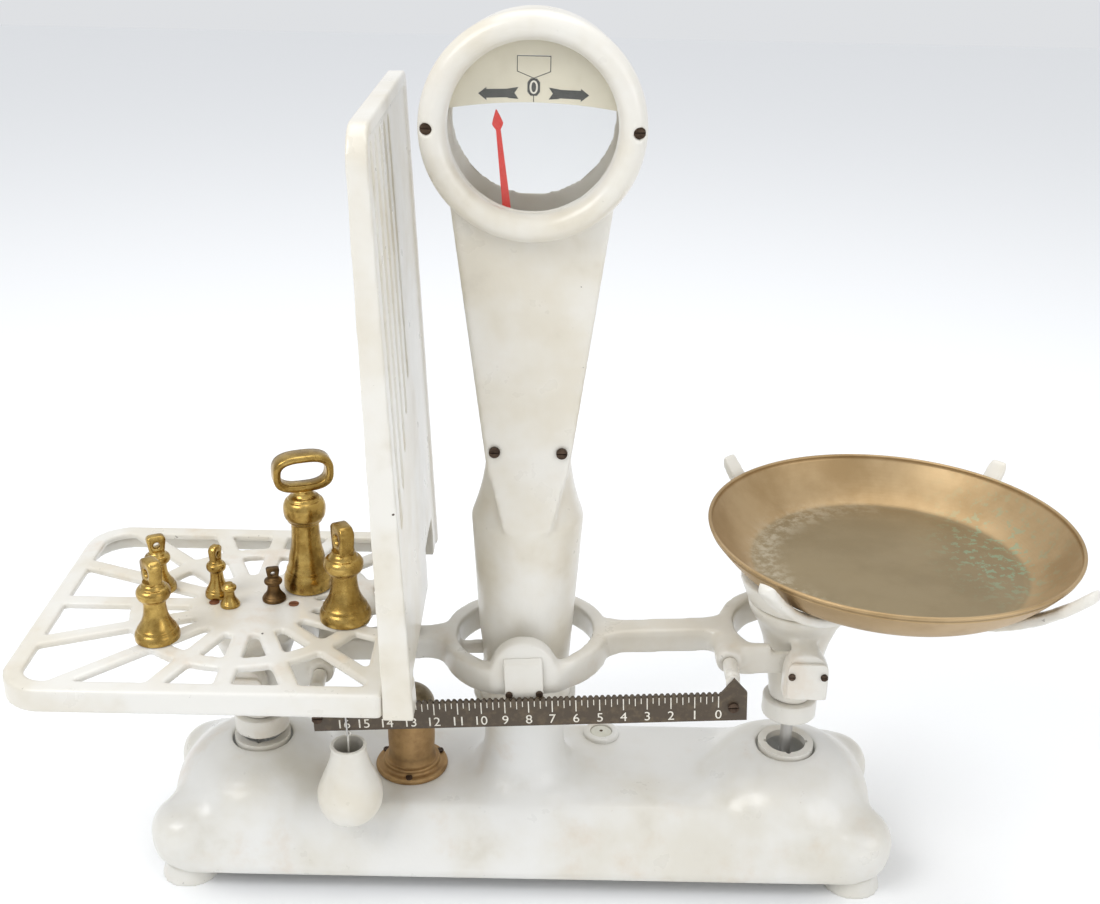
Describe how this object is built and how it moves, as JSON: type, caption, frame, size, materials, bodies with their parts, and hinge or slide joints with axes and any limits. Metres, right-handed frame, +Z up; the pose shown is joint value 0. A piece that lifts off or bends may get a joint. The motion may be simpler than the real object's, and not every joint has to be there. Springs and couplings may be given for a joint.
{
  "type": "counter balance scale",
  "caption": "Even-arm counter scale: enamelled base and dial tower, tilting beam with sliding poise, slotted goods platform with guard, lift-off pan and loose weights.",
  "frame": {"origin": "bench level under the middle of the bounding box", "axes": "+X from the goods platform towards the pan, +Y from the dial face towards the back, +Z up"},
  "size_m": [0.849, 0.3012, 0.719],
  "materials": {
    "white_enamel": "gloss, aged",
    "bare_steel": "satin",
    "zinc_screws": "zinc plated",
    "oxidised_screws": "dark, oxidised",
    "window_glass": "clear",
    "cream_plate": "matt",
    "red_paint": "satin",
    "bronze": "tarnished",
    "gold_paint": "worn metallic paint",
    "dull_brass": "dull",
    "brown_bar": "matt, dark brown",
    "weight_brass": "handled brass"
  },
  "bodies": {
    "base": {"base_casting": "white_enamel", "foot_pads": "white_enamel", "neck_inserts": "white_enamel", "fulcrum_bar": "bare_steel", "check_bracket": "white_enamel", "tower_casting": "white_enamel", "tower_cover": "white_enamel", "cover_screws": "oxidised_screws", "bezel": "white_enamel", "bezel_screws": "oxidised_screws", "front_glass": "window_glass", "rear_glass": "window_glass", "dial_plate": "cream_plate", "dashpot_cylinder": "gold_paint", "dashpot_cap": "dull_brass", "dashpot_screws": "oxidised_screws", "level_ring": "white_enamel", "level_glass": "window_glass"},
    "beam": {"beam_casting": "white_enamel", "fulcrum_bearings": "bare_steel", "end_knives": "bare_steel", "fulcrum_cap": "white_enamel", "fulcrum_cap_screws": "oxidised_screws", "bar_hangers": "white_enamel", "graduated_bar": "brown_bar", "bar_screws": "oxidised_screws", "beam_pins": "bare_steel"},
    "check": {"check_beam": "bare_steel", "check_pins": "bare_steel"},
    "goods_stem": {"goods_hub": "white_enamel", "goods_cover": "white_enamel", "goods_cover_screws": "oxidised_screws", "goods_rod": "bare_steel", "goods_skirt": "white_enamel", "platform": "white_enamel", "platform_screws": "oxidised_screws", "guard": "white_enamel", "guard_bracket": "white_enamel", "bracket_screws": "zinc_screws"},
    "pan_stem": {"pan_hub": "white_enamel", "pan_cover": "white_enamel", "pan_cover_screws": "oxidised_screws", "pan_rod": "bare_steel", "pan_skirt": "white_enamel", "pan_spider": "white_enamel", "spider_screws": "oxidised_screws"},
    "lift_off_pan": {"pan": "bronze"},
    "pointer_work": {"pointer": "red_paint", "pointer_arbor": "bare_steel"},
    "link": {"pointer_link": "bare_steel"},
    "dashpot_plunger": {"plunger": "bare_steel"},
    "hook": {"poise_hook": "bare_steel"},
    "poise": {"poise_cup": "white_enamel"},
    "weight_a_body": {"weight_a": "weight_brass"},
    "weight_b_body": {"weight_b": "weight_brass"},
    "weight_c_body": {"weight_c": "weight_brass"},
    "weight_d_body": {"weight_d": "weight_brass"},
    "weight_e_body": {"weight_e": "weight_brass"},
    "weight_f_body": {"weight_f": "weight_brass"},
    "weight_g_body": {"weight_g": "weight_brass"}
  },
  "joints": [
    {"name": "beam_tilt", "type": "hinge", "parent": "base", "child": "beam", "pos_m": [-0.02485, 0, 0.198], "axis": [0, 1, 0], "range_deg": [0, 6.2]},
    {"name": "check_tilt", "type": "hinge", "parent": "base", "child": "check", "pos_m": [-0.02485, 0, 0.042], "axis": [0, 1, 0], "range_deg": [0, 6.2]},
    {"name": "goods_pivot", "type": "hinge", "parent": "beam", "child": "goods_stem", "pos_m": [-0.25312, 0, 0.18564], "axis": [0, 1, 0], "range_deg": [-6.2, 0]},
    {"name": "pan_pivot", "type": "hinge", "parent": "beam", "child": "pan_stem", "pos_m": [0.20342, 0, 0.21036], "axis": [0, 1, 0], "range_deg": [-6.2, 0]},
    {"name": "pointer_turn", "type": "hinge", "parent": "base", "child": "pointer_work", "pos_m": [-0.02485, 0, 0.418], "axis": [0, 1, 0], "range_deg": [0, 13.02]},
    {"name": "link_pivot", "type": "hinge", "parent": "beam", "child": "link", "pos_m": [-0.05001, 0, 0.19664], "axis": [0, 1, 0], "range_deg": [-6.2, 0]},
    {"name": "plunger_pivot", "type": "hinge", "parent": "beam", "child": "dashpot_plunger", "pos_m": [-0.12351, 0, 0.19266], "axis": [0, 1, 0], "range_deg": [-6.2, 0]},
    {"name": "poise_slide", "type": "slide", "parent": "beam", "child": "hook", "axis": [0.9985, 0, 0.0541], "range_m": [-0.00476, 0.30004]},
    {"name": "poise_swing", "type": "hinge", "parent": "hook", "child": "poise", "pos_m": [-0.1672, -0.074, 0.15554], "axis": [0, 1, 0], "range_deg": [-6.2, 0]},
    {"name": "pan_lift", "type": "slide", "parent": "pan_stem", "child": "lift_off_pan", "axis": [0, 0, 1], "range_m": [0, 0.12]},
    {"name": "weight_a_lift", "type": "slide", "parent": "goods_stem", "child": "weight_a_body", "axis": [0, 0, 1], "range_m": [0, 0.1]},
    {"name": "weight_b_lift", "type": "slide", "parent": "goods_stem", "child": "weight_b_body", "axis": [0, 0, 1], "range_m": [0, 0.1]},
    {"name": "weight_c_lift", "type": "slide", "parent": "goods_stem", "child": "weight_c_body", "axis": [0, 0, 1], "range_m": [0, 0.1]},
    {"name": "weight_d_lift", "type": "slide", "parent": "goods_stem", "child": "weight_d_body", "axis": [0, 0, 1], "range_m": [0, 0.1]},
    {"name": "weight_e_lift", "type": "slide", "parent": "goods_stem", "child": "weight_e_body", "axis": [0, 0, 1], "range_m": [0, 0.1]},
    {"name": "weight_f_lift", "type": "slide", "parent": "goods_stem", "child": "weight_f_body", "axis": [0, 0, 1], "range_m": [0, 0.1]},
    {"name": "weight_g_lift", "type": "slide", "parent": "goods_stem", "child": "weight_g_body", "axis": [0, 0, 1], "range_m": [0, 0.1]}
  ],
  "couplings": [
    {"joint": "check_tilt", "follows": "beam_tilt", "ratio": 1},
    {"joint": "goods_pivot", "follows": "beam_tilt", "ratio": -1},
    {"joint": "pan_pivot", "follows": "beam_tilt", "ratio": -1},
    {"joint": "pointer_turn", "follows": "beam_tilt", "ratio": 2.1},
    {"joint": "link_pivot", "follows": "beam_tilt", "ratio": -1},
    {"joint": "plunger_pivot", "follows": "beam_tilt", "ratio": -1},
    {"joint": "poise_swing", "follows": "beam_tilt", "ratio": -1}
  ]
}
